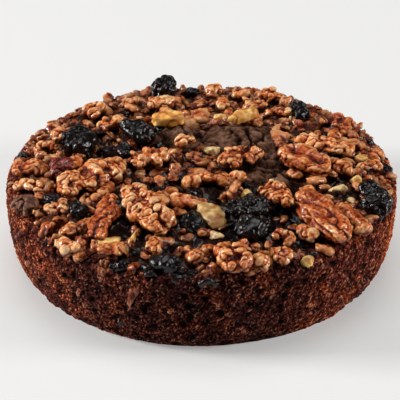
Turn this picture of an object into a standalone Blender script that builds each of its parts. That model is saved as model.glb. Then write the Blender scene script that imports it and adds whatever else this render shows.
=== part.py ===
"""A round fruit cake baked with walnut halves, broken nuts and dark fruit on its top.

The cake is one turned solid with its base flat on z = 0. Every topping is a closed solid of its own that
sits on the crust. A topping is a round form given as a radius in every direction from its middle, so the
crust below and the neighbours beside it can limit that radius and no two solids ever meet.
"""

import math

import bmesh
import bpy
from mathutils import Matrix, Vector, noise

MM = 0.001
GAP = 0.3 * MM  # clear space between pieces that touch

# Driving dimensions of the cake.
BASE_RADIUS = 73.7 * MM
WALL_RADIUS = 79.3 * MM  # widest, where the wall meets the rounded rim
WALL_HEIGHT = 31.0 * MM
WALL_CURVE = 3.4  # how early the wall leaves the base's width
FOOT_ROUND = 1.5 * MM
RIM_ROUND = 4.0 * MM  # how far in the rim's rounding reaches
RIM_RISE = 3.5 * MM  # how far up it goes
FLAT_RADIUS = WALL_RADIUS - RIM_ROUND  # where the rounding ends and the dome begins
CROWN_RISE = 3.0 * MM  # rise of the dome from rim to middle
CROWN_CURVE = 2.4
UNEVEN = 0.45 * MM  # how far the wall wanders in and out
WANDER_TURNS = 2.2  # how quickly it wanders round the cake
WANDER_RISE = 30.0  # and up the wall, for each metre

# The cake's mesh: points round it, and its rings as shares of the wall's height, degrees of the rim's
# rounding, and shares of the dome's radius.
SEGMENTS = 60
WALL_RINGS = (0.16, 0.34, 0.6, 1.0)
RIM_RINGS = (30, 60, 90)
CROWN_RINGS = (0.88, 0.76, 0.64, 0.52, 0.4, 0.28, 0.15)

# Places where the batter rose bare between the nuts: middle x and y, rise and spread, in millimetres.
SWELLS = [(18, 21, 3.6, 12), (-10, 24, 3.0, 8), (28, -11, 2.2, 7)]

# Toppings, by where they lie on the cake: kind, middle x and y, heading in degrees, then length, width
# and height, all in millimetres. +X is to the right and +Y to the back.
LEFT = [
    ("walnut_half", -44, -14, 37, 35, 18, 8.5),
    ("walnut_quarter", -37, -42, -105, 35, 13, 8.5),
    ("walnut_half", -21.5, -40, -63, 37, 18, 10),
    ("walnut_piece", -65, 13, 29, 15, 12, 7.5),
    ("walnut_piece", -58, 24, 46, 15, 12, 6.5),
    ("walnut_quarter", -69, -3, 5, 19, 12, 6.5),
    ("walnut_piece", -68, -17, -25, 19, 11, 6.5),
    ("prune", -51, 17, 83, 20, 13, 8.5),
    ("cherry", -57, -5, 0, 11.5, 11.5, 8),
    ("raisin", -48, -36, -65, 12, 8, 4.5),
    ("raisin", -69.5, -30, -32, 10, 8, 4),
    ("walnut_piece", -56, -35, 27, 13, 11, 6.5),
    ("walnut_piece", -50, -50, 44, 12, 9, 7),
    ("walnut_piece", -51, -59, -40, 15, 8, 5.5),
    ("walnut_quarter", -33, -65, 3, 15, 9, 5),
    ("walnut_piece", -18, -62, 71, 13, 9, 6.5),
]
BACK = [
    ("walnut_piece", -46, 46, 46, 12, 11, 8.5),
    ("walnut_half", -37, 33, 25, 15, 12, 7.5),
    ("walnut_piece", -31, 55, 10, 16, 10, 7),
    ("nut_chip", -14, 33, 3, 15, 9, 6),
    ("prune", -27, 22, -58, 21, 9, 6.5),
    ("walnut_piece", -17, 51, -3, 14, 12, 8),
    ("prune", -17, 65, 29, 12, 10, 9),
    ("walnut_piece", -6, 12, 0, 13, 10, 7),
    ("walnut_piece", 5, 65, 28, 13, 10, 7.5),
    ("walnut_piece", 17, 63, -7, 13, 10, 7.5),
    ("walnut_half", 29.5, 62, 10, 15, 11, 7),
    ("walnut_quarter", 9, 51, -88, 13, 8, 6),
    ("walnut_piece", 24, 52, 15, 17, 9, 6),
    ("nut_chip", 18, 34.5, 39, 17, 6, 5.5),
    ("walnut_quarter", 34, 42, -6, 15, 8, 6),
    ("prune", 41, 44, -85, 16, 10.5, 9),
]
RIGHT = [
    ("walnut_half", 58, 37, -31, 19, 12, 6.5),
    ("walnut_quarter", 60, 25, 3, 15, 7, 5),
    ("walnut_half", 51, 13, -16, 28, 11, 7),
    ("walnut_piece", 70, 10, -14, 13, 10, 6),
    ("walnut_piece", 69, -1, 4, 16, 11, 6.5),
    ("walnut_inner", 42, -3, -40, 25, 15, 8),
    ("walnut_quarter", 56, -5, -8, 13, 11, 7.5),
    ("prune", 69, -28, -80, 19, 13, 6.5),
    ("walnut_inner", 47, -43, -64, 35, 16, 9.5),
    ("walnut_quarter", 58, -43, -65, 24, 11, 7.5),
]
MIDDLE_AND_FRONT = [
    ("walnut_half", -21, 0, 13, 21, 14, 7),
    ("walnut_half", 16, -1, 39, 22, 14, 7),
    ("walnut_quarter", 2, -18, 5, 23, 10, 7),
    ("walnut_quarter", -6, -33, -1, 14, 11, 6.5),
    ("nut_chip", 4, -42, -67, 17, 10, 6),
    ("prune", 18, -38, 5, 19, 13, 6.5),
    ("prune", 19, -51, -6, 16, 12, 6),
    ("walnut_half", 29, -30, -46, 21, 13, 8),
    ("walnut_piece", 31, -56, -26, 13, 10, 6.5),
    ("walnut_piece", 41, -53, -40, 14, 10, 6.5),
    ("walnut_piece", 30, -68, 6, 12, 10, 6.5),
    ("walnut_piece", 22, -72, -2, 11, 9, 6),
    ("walnut_half", 12, -71, -68, 20, 14, 8.5),
    ("walnut_piece", -4, -67, -61, 14, 9, 7),
    ("raisin", -3, -47, -62, 16, 10, 5),
    ("raisin", -13, -73, -10, 12, 7, 4),
]
FINER_FROM = 19.5 * MM  # toppings at least this long get the finer mesh

FULLNESS = 2.6  # 2 would make a topping's outline an ellipse, and more fills its box's corners

# How a topping sits: its middle's height, and half its height, as shares of its full height.
MIDDLE_SHARE = 0.44
HALF_SHARE = 0.56
RIM_ZONE = 68 * MM  # beyond this radius a topping leans out over the rim
RIM_LEAN = 2.5 * MM  # how much further out the crust is that it leans on
STEEPEST_AT = 76.8 * MM
RING_STEP = 9 * MM  # the widest step between the dome's rings
LET_BE = 3 * MM  # neighbours further apart than this need nothing between them
TRIED_WAYS = 72  # directions tried for the plane between two neighbours

COLOURS = {
    "cake": ((0.085, 0.033, 0.018), 0.85),
    "walnut_half": ((0.36, 0.16, 0.065), 0.45),
    "walnut_quarter": ((0.33, 0.13, 0.05), 0.45),
    "walnut_piece": ((0.33, 0.14, 0.06), 0.45),
    "walnut_inner": ((0.38, 0.16, 0.07), 0.45),
    "nut_chip": ((0.55, 0.33, 0.12), 0.5),
    "prune": ((0.006, 0.004, 0.005), 0.25),
    "raisin": ((0.02, 0.009, 0.008), 0.3),
    "cherry": ((0.12, 0.012, 0.01), 0.25),
}


def clear_scene():
    for thing in list(bpy.data.objects):
        bpy.data.objects.remove(thing)


def material(kind):
    """The one material of a kind of piece, made the first time it is asked for."""
    made = bpy.data.materials.get(kind)
    if made is None:
        colour, roughness = COLOURS[kind]
        made = bpy.data.materials.new(kind)
        made.use_nodes = True
        shader = made.node_tree.nodes["Principled BSDF"]
        shader.inputs["Base Color"].default_value = (*colour, 1.0)
        shader.inputs["Roughness"].default_value = roughness
        shader.inputs["Metallic"].default_value = 0.0
    return made


def add_object(name, kind, form):
    """Puts a bmesh into the scene as a smooth named object."""
    mesh = bpy.data.meshes.new(name)
    form.to_mesh(mesh)
    form.free()
    mesh.shade_smooth()
    mesh.materials.append(material(kind))
    made = bpy.data.objects.new(name, mesh)
    bpy.context.collection.objects.link(made)
    return made


# The cake.


def wall_radius(height):
    """The wall leaves the base's width early and runs up almost straight."""
    share = min(height / WALL_HEIGHT, 1.0)
    return BASE_RADIUS + (WALL_RADIUS - BASE_RADIUS) * (1 - (1 - share) ** WALL_CURVE)


def crown_height(radius):
    """The smooth top: a shallow dome, then the rounding of the rim."""
    dome = CROWN_RISE * (1 - min(radius / FLAT_RADIUS, 1.0) ** CROWN_CURVE)
    past = min(max(radius - FLAT_RADIUS, 0.0) / RIM_ROUND, 1.0)
    return WALL_HEIGHT + dome + RIM_RISE * math.sqrt(1 - past * past)


def swell_height(x, y):
    """How far the bare batter stands above the smooth top."""
    return sum(
        rise * MM * math.exp(-((x / MM - at_x) ** 2 + (y / MM - at_y) ** 2) / spread**2)
        for at_x, at_y, rise, spread in SWELLS
    )


def cake_rings():
    """Radius and height of each ring of the outline, from the foot over the rim towards the middle."""
    foot = [(BASE_RADIUS - FOOT_ROUND, 0.0), (wall_radius(FOOT_ROUND), FOOT_ROUND)]
    wall = [(wall_radius(share * WALL_HEIGHT), share * WALL_HEIGHT) for share in WALL_RINGS]
    rim = [FLAT_RADIUS + RIM_ROUND * math.cos(math.radians(turn)) for turn in RIM_RINGS]
    crown = [FLAT_RADIUS * share for share in CROWN_RINGS]
    return foot + wall + [(radius, crown_height(radius)) for radius in rim + crown]


def ring_point(index, radius, height):
    """One point of a ring, moved a little in or out by the wall's wander and up by the swells."""
    turn = 2 * math.pi * index / SEGMENTS
    way = Vector((math.cos(turn), math.sin(turn), 0))
    wander = noise.noise(way * WANDER_TURNS + Vector((0, 0, height * WANDER_RISE)))
    place = way * (radius + UNEVEN * wander * radius / WALL_RADIUS)
    place.z = height
    if height > WALL_HEIGHT:
        place.z += swell_height(place.x, place.y)
    return place


def build_cake():
    form = bmesh.new()
    rings = []
    for radius, height in cake_rings():
        points = [ring_point(index, radius, height) for index in range(SEGMENTS)]
        rings.append([form.verts.new(point) for point in points])
    for lower, upper in zip(rings, rings[1:]):
        for index in range(SEGMENTS):
            after = (index + 1) % SEGMENTS
            form.faces.new((lower[index], lower[after], upper[after], upper[index]))
    middle = form.verts.new((0, 0, crown_height(0) + swell_height(0, 0)))
    for index in range(SEGMENTS):
        form.faces.new((rings[-1][index], rings[-1][(index + 1) % SEGMENTS], middle))
    form.faces.new(reversed(rings[0]))
    bmesh.ops.triangulate(form, faces=form.faces)
    return add_object("cake", "cake", form)


# The forms of the toppings. Each gives the radius, at most 1, in a direction of the unit sphere, with X
# along the piece, Y across it and Z up. seed makes pieces of a kind differ.


def walnut_half(way, seed):
    """The round side of a half kernel: a row of lobes on each side of a groove along the middle."""
    side = 1.0 if way.y > 0 else -1.0
    lobes = 0.5 + 0.5 * math.cos(9.0 * way.x + 1.4 * side + 1.7 * seed)
    groove = math.exp(-((way.y / 0.18) ** 2)) * max(way.z, 0.0)
    return 1.0 - 0.19 * lobes * min(abs(way.y) * 2, 1.0) - 0.26 * groove


def walnut_quarter(way, seed):
    """One long lobe of a kernel, hollow along one side and ridged across."""
    ridges = 0.5 + 0.5 * math.cos(9.5 * way.x + 1.9 * seed)
    hollow = max(-way.y, 0.0) * (1 - way.x * way.x)
    return 1.0 - 0.17 * ridges - 0.22 * hollow


def walnut_inner(way, seed):
    """A half kernel lying with its broad inner face up: a rim round a hollow with a low ridge along it."""
    face = 0.72 / max(way.z, 0.72)
    ridge = 0.1 * math.exp(-((way.y / 0.14) ** 2)) * max(way.z, 0.0)
    scallops = 0.08 * (0.5 + 0.5 * math.cos(7 * way.x + seed)) * abs(way.y)
    return face * (1.0 - scallops) + ridge * (1 - face)


def walnut_piece(way, seed):
    """A broken piece: three or four round lobes grown together."""
    count = 3 + seed % 2
    reach = 0.72
    for index in range(count):
        turn = 2 * math.pi * index / count + 0.9 * seed
        lobe = Vector((0.46 * math.cos(turn), 0.46 * math.sin(turn), 0.2 * math.sin(2.3 * index + seed)))
        along = way.dot(lobe)
        inside = along * along - lobe.length_squared + 0.5**2
        reach = max(reach, along + math.sqrt(max(inside, 0.0)))
    return min(reach, 1.0)


def nut_chip(way, seed):
    """A cut chip: flat faces that meet in blunt edges."""
    reach = 1.0
    for index in range(7):
        turn = 2 * math.pi * index / 7 + 0.7 * seed
        tilt = 0.5 * math.sin(3.1 * index + seed)
        face = Vector((math.cos(turn), math.sin(turn), tilt)).normalized()
        reach = min(reach, 0.86 / max(way.dot(face), 0.86))
    return min(reach, 0.8 / max(way.z, 0.8))


def prune(way, seed):
    """A plump dried fruit with pinched ends and long folds."""
    turn = math.atan2(way.z, way.y)
    folds = (0.5 + 0.5 * math.cos(5 * turn + 2.4 * way.x + seed)) * (1 - way.x * way.x)
    return 1.0 - 0.13 * folds - 0.1 * abs(way.x) ** 4


def raisin(way, seed):
    """A flatter dried fruit with deep folds."""
    turn = math.atan2(way.z, way.y)
    folds = (0.5 + 0.5 * math.cos(4 * turn + 3.2 * way.x + 2 * seed)) * (1 - way.x * way.x)
    return 1.0 - 0.2 * folds


def cherry(way, seed):
    """A shrunken cherry: nearly round, with a dimple on top and soft creases running down from it."""
    dimple = math.exp(-(1 - way.z) / 0.1)
    creases = 0.5 + 0.5 * math.cos(7 * math.atan2(way.y, way.x) + seed)
    return 1.0 - 0.2 * dimple - 0.07 * creases * (1 - abs(way.z))


FORMS = {
    "walnut_half": walnut_half,
    "walnut_quarter": walnut_quarter,
    "walnut_inner": walnut_inner,
    "walnut_piece": walnut_piece,
    "nut_chip": nut_chip,
    "prune": prune,
    "raisin": raisin,
    "cherry": cherry,
}


# Where a topping sits.


def crust_slope(x, y):
    """The upward direction of the smooth top, leaning out where a topping laps over the rim."""
    radius = math.hypot(x, y)
    if radius > RIM_ZONE:
        radius = min(radius + RIM_LEAN, STEEPEST_AT)
    step = 0.05 * MM
    fall = (crown_height(radius - step) - crown_height(radius + step)) / (2 * step)
    outward = Vector((x, y, 0)).normalized()
    return Vector((outward.x * fall, outward.y * fall, 1.0)).normalized()


def resting_height(cake, up, x, y, reach):
    """How far along up the crust's highest point lies, within reach of a place."""
    near = [v.co for v in cake.data.vertices if math.hypot(v.co.x - x, v.co.y - y) < reach]
    return max(place.dot(up) for place in near)


class Topping:
    """One topping's place and size: centre, and the matrix that takes the unit sphere to its box."""

    def __init__(self, row, seed, cake):
        self.kind, x, y, heading, *sizes = row
        self.seed = seed
        x, y = x * MM, y * MM
        self.length, width, height = (size * MM for size in sizes)
        up = crust_slope(x, y)
        turn = math.radians(heading)
        along = Vector((math.cos(turn), math.sin(turn), 0))
        along = (along - up * along.dot(up)).normalized()
        across = up.cross(along)
        crust = resting_height(cake, up, x, y, self.length / 2 + RING_STEP)
        level = crust + GAP
        self.centre = Vector((x, y, (level + MIDDLE_SHARE * height - up.x * x - up.y * y) / up.z))
        scale = Matrix.Diagonal((self.length / 2, width / 2, height * HALF_SHARE))
        self.box = Matrix((along, across, up)).transposed() @ scale
        self.limits = [(-up, -level)]

    def reach(self, way):
        """How far the untrimmed topping reaches from its centre in a direction."""
        power = FULLNESS / (FULLNESS - 1)
        return sum(abs(part) ** power for part in self.box.transposed() @ way) ** (1 / power)

    def radius(self, way):
        """Its form, filled out towards its box and cut back to every limit."""
        full = sum(abs(part) ** FULLNESS for part in way) ** (-1 / FULLNESS)
        reach = FORMS[self.kind](way, self.seed) * full
        step = self.box @ way
        for normal, level in self.limits:
            climb = normal.dot(step)
            if climb > 0:
                reach = min(reach, (level - normal.dot(self.centre)) / climb)
        return reach

    def build(self, name):
        form = bmesh.new()
        finer = self.length >= FINER_FROM
        bmesh.ops.create_icosphere(form, subdivisions=3 if finer else 2, radius=1.0)
        for vert in form.verts:
            way = vert.co.normalized()
            vert.co = self.centre + self.box @ way * self.radius(way)
        return add_object(name, self.kind, form)


def keep_apart(first, second):
    """Puts an upright plane between two neighbours where they overlap least. The smaller one gives way more."""
    best = None
    for step in range(TRIED_WAYS):
        turn = 2 * math.pi * step / TRIED_WAYS
        way = Vector((math.cos(turn), math.sin(turn), 0))
        overlap = first.reach(way) + second.reach(way) - way.dot(second.centre - first.centre)
        if best is None or overlap < best[0]:
            best = (overlap, way)
    overlap, way = best
    if overlap < -LET_BE:
        return
    share = second.length**2 / (first.length**2 + second.length**2)
    level = way.dot(first.centre) + first.reach(way) - overlap * share
    first.limits.append((way, level - GAP / 2))
    second.limits.append((-way, -level - GAP / 2))


clear_scene()
cake = build_cake()
rows = LEFT + BACK + RIGHT + MIDDLE_AND_FRONT
toppings = [Topping(row, seed, cake) for seed, row in enumerate(rows)]
for index, first in enumerate(toppings):
    for second in toppings[index + 1 :]:
        keep_apart(first, second)
numbers = {}
for topping in toppings:
    numbers[topping.kind] = numbers.get(topping.kind, 0) + 1
    topping.build(f"{topping.kind}_{numbers[topping.kind]:02d}")
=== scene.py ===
import math
import random

import bmesh
import bpy
import numpy as np
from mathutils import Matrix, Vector, kdtree, noise


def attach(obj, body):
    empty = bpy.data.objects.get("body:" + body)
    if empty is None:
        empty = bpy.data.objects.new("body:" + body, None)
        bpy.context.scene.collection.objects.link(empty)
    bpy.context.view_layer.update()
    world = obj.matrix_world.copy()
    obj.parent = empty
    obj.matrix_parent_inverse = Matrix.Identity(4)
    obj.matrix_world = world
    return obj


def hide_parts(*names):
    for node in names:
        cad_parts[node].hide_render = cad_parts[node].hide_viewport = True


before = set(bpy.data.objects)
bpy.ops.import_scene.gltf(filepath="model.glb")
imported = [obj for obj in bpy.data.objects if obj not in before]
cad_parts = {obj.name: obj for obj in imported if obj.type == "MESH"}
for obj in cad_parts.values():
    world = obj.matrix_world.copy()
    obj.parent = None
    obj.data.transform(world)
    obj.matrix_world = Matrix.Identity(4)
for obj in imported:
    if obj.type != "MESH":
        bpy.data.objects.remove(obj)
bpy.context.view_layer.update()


# ---------------------------------------------------------------------------------------------------------
# The cake: one dark, moist crumb baked in a round tin, uncut. Its wall is open crumb, torn where it left
# the tin. Its top is a browned crust that swelled bare in three places and elsewhere rose round the nuts.

MM = 0.001
BASE_RADIUS = 73.7
WALL_RADIUS = 79.3
WALL_HEIGHT = 31.0
WALL_CURVE = 3.4
FOOT_ROUND = 1.5
RIM_ROUND = 4.0
RIM_RISE = 3.5
CROWN_RISE = 3.0
CROWN_CURVE = 2.4
UNEVEN = 0.45
WANDER_TURNS = 2.2
WANDER_RISE = 0.03
noise.seed_set(4)
SWELLS = [(18, 21, 3.6, 12), (-10, 24, 3.0, 8), (28, -11, 2.2, 7)]  # middle x and y, rise, spread
BARE = [(18, 21, 15.6), (-10, 24, 10.4), (28, -11, 9.1), (28, 4, 7.5)]  # middle x and y, spread: no nuts lie there
# Where the crust split and sank over the swells: each crack's points, x and y, from end to end.
CRACKS = [
    [(18, 30), (20, 22), (21, 16), (20, 11), (16, 8)], [(27, 23), (23, 14), (24, 8), (26, 2), (29, -8)],
    [(-2, 31), (-1, 23), (2, 18), (8, 15)], [(34, 28), (31, 17), (32, 9), (30, -3)], [(12, 28), (14, 21), (16, 14)],
    [(-31, 36), (-27, 25), (-21, 18), (-15, 15)], [(-22, 33), (-17, 24), (-14, 17)], [(-10, 32), (-7, 22), (-9, 15)],
    [(20, -4), (26, -8), (33, -9), (37, -14)], [(24, -16), (29, -12), (32, -4)],
]

WALL_POINTS = 960
WALL_STEP = 0.56
TOP_STEP = 0.85
BASE_STEP = 2.4
FLAT_RADIUS = WALL_RADIUS - RIM_ROUND
RIM_FADE = 9.0


def wall_radius(height):
    share = min(height / WALL_HEIGHT, 1.0)
    return BASE_RADIUS + (WALL_RADIUS - BASE_RADIUS) * (1 - (1 - share) ** WALL_CURVE)


def crown_height(radius):
    """The smooth top: a shallow dome, then the rounding of the rim."""
    dome = CROWN_RISE * (1 - min(radius / FLAT_RADIUS, 1.0) ** CROWN_CURVE)
    past = min(max(radius - FLAT_RADIUS, 0.0) / RIM_ROUND, 1.0)
    return WALL_HEIGHT + dome + RIM_RISE * math.sqrt(1 - past * past)


def swell_height(x, y):
    return sum(rise * math.exp(-((x - at_x) ** 2 + (y - at_y) ** 2) / spread**2) for at_x, at_y, rise, spread in SWELLS)


def bareness(x, y):
    """1 on the bare swells of crust, 0 where nuts cover it."""
    return min(1.0, sum(math.exp(-((x - at_x) ** 2 + (y - at_y) ** 2) / spread**2) for at_x, at_y, spread in BARE))


def from_crack(x, y):
    """How far a place is from the nearest crack, in millimetres."""
    here = Vector((x, y, 0))
    nearest = 99.0
    for line in CRACKS:
        for start, end in zip(line, line[1:]):
            start, end = Vector((*start, 0)), Vector((*end, 0))
            share = (here - start).dot(end - start) / (end - start).length_squared
            nearest = min(nearest, (here - start.lerp(end, min(max(share, 0.0), 1.0))).length)
    return nearest


def crust_relief(x, y):
    """How far the baked crust stands above the smooth top, and how light it is coloured: 0 down a crack, where shade is
    painted, 1 on a plate, and where nuts cover it, browning with painted shade between the pieces.
    """
    place = Vector((x, y, 3.0))
    bent = place + 6.0 * noise.noise_vector(place * 0.06) + 1.8 * noise.noise_vector(place * 0.25)
    fold = min(1.0, abs(noise.noise(Vector((bent.x * 0.16, bent.y * 0.13, 7.1)))) / 0.2)
    lump = noise.noise(bent * 0.2)
    grain = noise.noise(place * 0.7)
    speck = noise.noise(place * 1.5)
    bare = bareness(x, y)
    crack = 1.0
    if bare > 0:
        strayed = place + 2.4 * noise.noise_vector(place * 0.22) + 1.0 * noise.noise_vector(place * 0.8)
        width = 0.8 + 0.8 * noise.noise(place * 0.3)
        crack = min(1.0, max(0.0, from_crack(strayed.x, strayed.y) / max(width, 0.3) - 0.3))
    plate = 2.4 * (crack**0.7 - 1) + 0.9 * (fold**0.7 - 1) + 1.6 * lump + 0.5 * grain + 0.2 * speck + 1.2
    risen = 1.0 + 2.0 * noise.noise(place * 0.13) + 2.2 * noise.noise(place * 0.3) + 1.3 * grain + 0.6 * speck
    height = bare * plate + (1 - bare) * risen
    # Painted shade: the bare crust's colour goes dark down the cracks and lighter on the plates.
    pale_and_lit = crack * (0.5 + 0.3 * fold) * (1.0 + 0.6 * grain + 0.5 * speck + 0.6 * lump)
    # The covered crust: random browning, lighter towards the back and the left, and darker at the front middle, where
    # painted shade fills the gaps between the pieces.
    browned_and_shaded = 0.42 + 0.6 * grain + 0.5 * lump + 0.25 * min(max((y - 20) / 25, (-x - 30) / 25, 0.0), 1.0)
    browned_and_shaded -= 0.35 * max(0.0, 1 - math.hypot(x / 52, (y + 38) / 28) ** 4)
    return height, max(0.0, min(1.0, pale_and_lit * bare + browned_and_shaded * (1 - bare))), bare


def crust_height(x, y):
    """The top's real height, in millimetres, faded to the smooth form round the rim."""
    radius = math.hypot(x, y)
    fade = min(max((FLAT_RADIUS + 1.0 - radius) / RIM_FADE, 0.0), 1.0)
    return crown_height(min(radius, WALL_RADIUS)) + swell_height(x, y) + fade * crust_relief(x, y)[0]


def crumb_relief(place):
    """How far the crumb stands out of the smooth wall, in millimetres, and how light it is coloured: 0 down a pore,
    where shade is painted, higher on the crumb between.
    """
    bent = place + 0.6 * noise.noise_vector(place * 0.9) + 0.3 * noise.noise_vector(place * 1.9)
    gaps, seeds = noise.voronoi(bent * 0.66)
    size = 0.34 + 0.45 * noise.noise(seeds[0] * 3.7 + Vector((5, 1, 2)))
    pore = min(1.0, max(0.0, 1.25 - gaps[0] / size)) if size > 0.25 else 0.0
    wide_gaps, wide_seeds = noise.voronoi(bent * 0.2 + Vector((9, 4, 1)))
    hole = min(1.0, max(0.0, 1.3 - wide_gaps[0] / 0.3)) * (noise.noise(wide_seeds[0] * 2.9) > -0.02)
    lump = noise.noise(place * 0.3)
    clod = noise.noise(place * 1.1 + Vector((1, 7, 3)))
    speck = noise.noise(place * 2.1 + Vector((3, 3, 3)))
    relief = 0.7 * lump + 0.55 * clod + 0.4 * speck - 0.8 * pore - 1.5 * hole
    return relief, max(0.0, min(1.0, 0.56 + 0.25 * lump + 0.6 * clod + 0.6 * speck - 0.8 * pore - 1.1 * hole))


def painted_side_light_of(place):
    """Painted light on the wall's crumb, 0 to 1: most at the right, then the left and the back, least at the front, in
    random patches.
    """
    x, y = place.x / (WALL_RADIUS * MM), place.y / (WALL_RADIUS * MM)
    patch = 0.35 * noise.noise(Vector((2 * x, 2 * y, 40 * place.z)))
    return min(max(0.35 + (0.85 if x > 0 else 0.45) * abs(x) + 0.35 * y + patch, 0.0), 1.0)


def cake_rings():
    """Radius, height and point count of every ring, from the middle of the base up the wall to the middle of the top."""
    rings = [(radius, 0.0, WALL_POINTS // 4) for radius in np.arange(BASE_STEP, BASE_RADIUS - FOOT_ROUND - 1.0, BASE_STEP)]
    rings.append((BASE_RADIUS - FOOT_ROUND - 0.9, 0.0, WALL_POINTS // 2))
    rings.append((BASE_RADIUS - FOOT_ROUND, 0.0, WALL_POINTS))
    for turn in (30, 60):
        lift = FOOT_ROUND * (1 - math.cos(math.radians(turn)))
        rings.append((BASE_RADIUS - FOOT_ROUND + FOOT_ROUND * math.sin(math.radians(turn)), lift, WALL_POINTS))
    for height in np.linspace(FOOT_ROUND, WALL_HEIGHT, round((WALL_HEIGHT - FOOT_ROUND) / WALL_STEP)):
        rings.append((wall_radius(height), height, WALL_POINTS))
    for turn in np.linspace(8, 90, 10):
        radius = FLAT_RADIUS + RIM_ROUND * math.cos(math.radians(turn))
        rings.append((radius, crown_height(radius), WALL_POINTS))
    for radius in np.arange(FLAT_RADIUS - TOP_STEP, TOP_STEP / 2, -TOP_STEP):
        points = WALL_POINTS // 2 if radius > 47 else WALL_POINTS // 4 if radius > 22 else WALL_POINTS // 8
        rings.append((radius, crown_height(radius), points))
    return rings


def join_rings(form, lower, upper):
    """Faces between two rings, whose counts are equal or differ by a factor of two."""
    low, high = len(lower), len(upper)
    if low == high:
        for index in range(low):
            after = (index + 1) % low
            form.faces.new((lower[index], lower[after], upper[after], upper[index]))
    elif low > high:
        for index in range(high):
            after = (index + 1) % high
            form.faces.new((lower[2 * index], lower[2 * index + 1], upper[index]))
            form.faces.new((lower[2 * index + 1], upper[after], upper[index]))
            form.faces.new((lower[2 * index + 1], lower[(2 * index + 2) % low], upper[after]))
    else:
        for index in range(low):
            after = (index + 1) % low
            form.faces.new((lower[index], upper[2 * index + 1], upper[2 * index]))
            form.faces.new((lower[index], lower[after], upper[2 * index + 1]))
            form.faces.new((lower[after], upper[(2 * index + 2) % high], upper[2 * index + 1]))


def set_tone(mesh, name, values):
    """Keeps one number for each point of a mesh, which its material reads."""
    kept = mesh.attributes.new(name, "FLOAT", "POINT")
    kept.data.foreach_set("value", np.asarray(values, np.float32))


def build_cake():
    form = bmesh.new()
    openness_and_shade, crusted = [], []
    rings = []
    heights = cake_rings()
    top_from = WALL_HEIGHT + 0.5
    for radius, height, count in heights:
        ring = []
        for index in range(count):
            turn = 2 * math.pi * index / count
            way = Vector((math.cos(turn), math.sin(turn), 0))
            wander = UNEVEN * noise.noise(way * WANDER_TURNS + Vector((0, 0, height * WANDER_RISE)))
            place = way * (radius + wander * radius / WALL_RADIUS)
            place.z = height
            crumb, crumb_open_and_shaded = crumb_relief(place) if height > 0 or radius > 60 else (0.0, 0.5)
            if height > top_from:
                crust, crust_open_and_shaded, bare = crust_relief(place.x, place.y)
                share = min(max((FLAT_RADIUS + 1.0 - radius) / RIM_FADE, 0.0), 1.0)
                place.z += swell_height(place.x, place.y) + share * crust
                place += way * crumb * (1 - share) * 0.8
                place.z += crumb * (1 - share) * 0.8
                openness_and_shade.append(crumb_open_and_shaded * (1 - share) + crust_open_and_shaded * share)
                crusted.append(0.3 + 0.7 * share)
            else:
                near_foot = min(1.0, height / 1.2)
                if height > 0:
                    place += way * crumb * near_foot
                openness_and_shade.append(crumb_open_and_shaded)
                crusted.append(min(0.3, max(0.0, (height - 25.0) / 20.0)))
            ring.append(form.verts.new(place * MM))
        rings.append(ring)
    for lower, upper in zip(rings, rings[1:]):
        join_rings(form, lower, upper)
    for ring, height, way_up in ((rings[0], 0.0, False), (rings[-1], crust_height(0, 0), True)):
        middle = form.verts.new((0, 0, height * MM))
        openness_and_shade.append(0.5)
        crusted.append(1.0 if way_up else 0.0)
        for index in range(len(ring)):
            pair = (ring[index], ring[(index + 1) % len(ring)])
            form.faces.new((*pair, middle) if way_up else (*reversed(pair), middle))
    mesh = bpy.data.meshes.new("baked_cake")
    form.verts.index_update()
    form.to_mesh(mesh)
    form.free()
    mesh.shade_smooth()
    set_tone(mesh, "openness_and_shade", openness_and_shade)
    set_tone(mesh, "painted_side_light", [painted_side_light_of(vert.co) for vert in mesh.vertices])
    set_tone(mesh, "crusted", crusted)
    set_tone(mesh, "bare", [bareness(vert.co.x / MM, vert.co.y / MM) * (vert.co.z > 0.03) for vert in mesh.vertices])
    cake = bpy.data.objects.new("baked_cake", mesh)
    bpy.context.scene.collection.objects.link(cake)
    return cake


def put(tree, kind, inputs=None, **settings):
    """Adds one node to a material or group. An input given as another node's output is wired to it."""
    made = tree.nodes.new(kind)
    for name, value in settings.items():
        setattr(made, name, value)
    for name, value in (inputs or {}).items():
        if isinstance(value, bpy.types.NodeSocket):
            tree.links.new(value, made.inputs[name])
        else:
            made.inputs[name].default_value = value
    return made


def ramp(tree, value, stops):
    """Colours along a value, from a list of (place, colour)."""
    made = put(tree, "ShaderNodeValToRGB", {"Fac": value})
    elements = made.color_ramp.elements
    while len(elements) < len(stops):
        elements.new(0.5)
    for element, (place, colour) in zip(elements, stops):
        element.position = place
        element.color = (*colour, 1.0)
    return made.outputs["Color"]


def blend(tree, share, first, second, way="MIX"):
    """Mixes two colours by a share."""
    made = put(tree, "ShaderNodeMix", data_type="RGBA", blend_type=way)
    for index, value in ((0, share), (6, first), (7, second)):
        if isinstance(value, bpy.types.NodeSocket):
            tree.links.new(value, made.inputs[index])
        else:
            made.inputs[index].default_value = (*value, 1.0) if index else value
    return made.outputs[2]


def sum_of(tree, way, first, second):
    """One Math node."""
    made = put(tree, "ShaderNodeMath", operation=way)
    for index, value in enumerate((first, second)):
        if isinstance(value, bpy.types.NodeSocket):
            tree.links.new(value, made.inputs[index])
        else:
            made.inputs[index].default_value = value
    return made.outputs[0]


def reading(tree, name):
    """The number that set_tone kept under a name."""
    return put(tree, "ShaderNodeAttribute", attribute_name=name).outputs["Fac"]


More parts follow.
